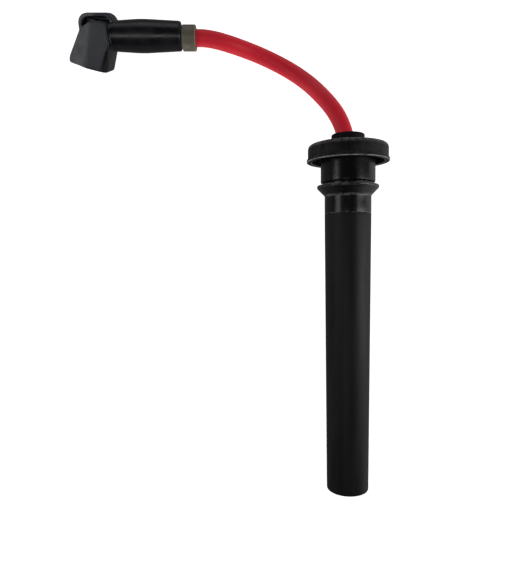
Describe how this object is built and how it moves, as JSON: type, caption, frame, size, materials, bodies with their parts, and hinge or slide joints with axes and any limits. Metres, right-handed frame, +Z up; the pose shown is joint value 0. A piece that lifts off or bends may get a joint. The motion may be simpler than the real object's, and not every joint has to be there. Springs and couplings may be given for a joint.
{
  "type": "spark plug lead",
  "caption": "High-tension ignition lead with a long plug tube, a mushroom well seal, a bent red silicone lead and a right-angle coil boot.",
  "frame": {"origin": "on the surface that the lead lies on, under the middle of the box round everything except the free lead", "axes": "+Z up from the surface; +Y along the surface from the plug tube's mouth towards its cap; +X towards the side that the plug tube is on"},
  "size_m": [0.1546, 0.2342, 0.0392],
  "materials": {
    "tube_plastic": "moulded matte black",
    "sleeve_rubber": "soft black silicone",
    "neck_rubber": "glossy moulded black rubber",
    "cap_rubber": "matte black rubber with a pale rim edge",
    "collar_rubber": "matte black rubber",
    "lead_silicone": "smooth red silicone",
    "braid_glass": "woven glass fibre",
    "lead_insulation": "matte black rubber",
    "lead_core": "fine wound wire",
    "terminal_steel": "formed stainless sheet",
    "clip_steel": "spring wire",
    "boot_plastic": "semi-gloss moulded black",
    "ring_olive": "dull olive",
    "plug_plastic": "matte black"
  },
  "bodies": {
    "plug_end": {"plug_tube": "tube_plastic", "plug_sleeve": "sleeve_rubber", "lead_guide": "sleeve_rubber", "neck_boot": "neck_rubber", "seal_cap": "cap_rubber", "top_grommet": "collar_rubber"},
    "lead": {"lead": "lead_silicone", "lead_tail": "lead_silicone", "lead_braid": "braid_glass", "lead_insulation": "lead_insulation", "lead_core": "lead_core", "plug_terminal": "terminal_steel", "plug_terminal_clip": "clip_steel", "lead_coil_end": "lead_silicone", "coil_end_core": "lead_core"},
    "coil_end": {"coil_boot": "boot_plastic", "boot_ring": "ring_olive", "tower_seal": "sleeve_rubber", "elbow_plug": "plug_plastic", "coil_terminal": "terminal_steel", "coil_terminal_clip": "clip_steel"}
  },
  "joints": [
    {"name": "lead_swivel", "type": "hinge", "parent": "plug_end", "child": "lead", "pos_m": [0.0575, 0.0555, 0.0204], "axis": [-0.0087, 0.9982, 0.0596], "range_deg": [-180, 180]},
    {"name": "coil_boot_swivel", "type": "hinge", "parent": "lead", "child": "coil_end", "pos_m": [-0.0152, 0.1038, 0.0152], "axis": [1, 0, 0], "range_deg": [-90, 90]}
  ]
}
